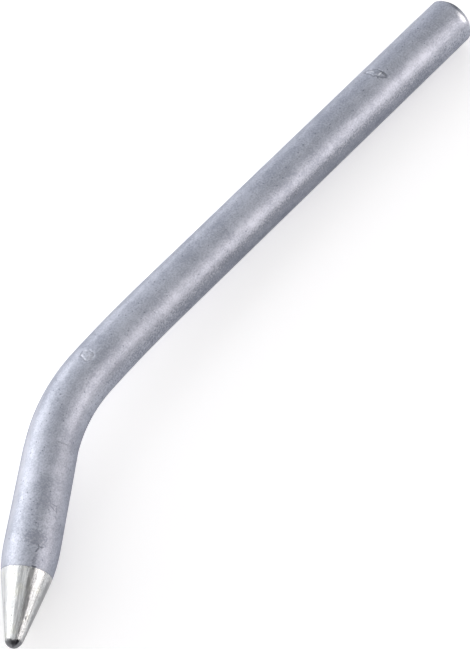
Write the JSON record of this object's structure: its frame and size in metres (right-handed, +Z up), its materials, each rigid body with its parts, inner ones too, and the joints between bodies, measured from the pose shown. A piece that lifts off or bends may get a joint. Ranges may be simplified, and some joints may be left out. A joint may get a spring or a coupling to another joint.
{
  "type": "soldering iron tip",
  "caption": "Bent solid round soldering iron tip with a plain chamfered shank, a swelling neck and a blunt tinned cone.",
  "frame": {"origin": "centre of the flat rear face of the shank", "axes": "+X along the shank towards the working end, the bar bends towards +Y in the XY plane, +Z up as it lies flat"},
  "size_m": [0.0949, 0.0195, 0.0062],
  "materials": {
    "plated_copper": "matte blasted plating, with the cone tinned bright"
  },
  "bodies": {
    "root": {"soldering_tip": "plated_copper"}
  },
  "joints": []
}
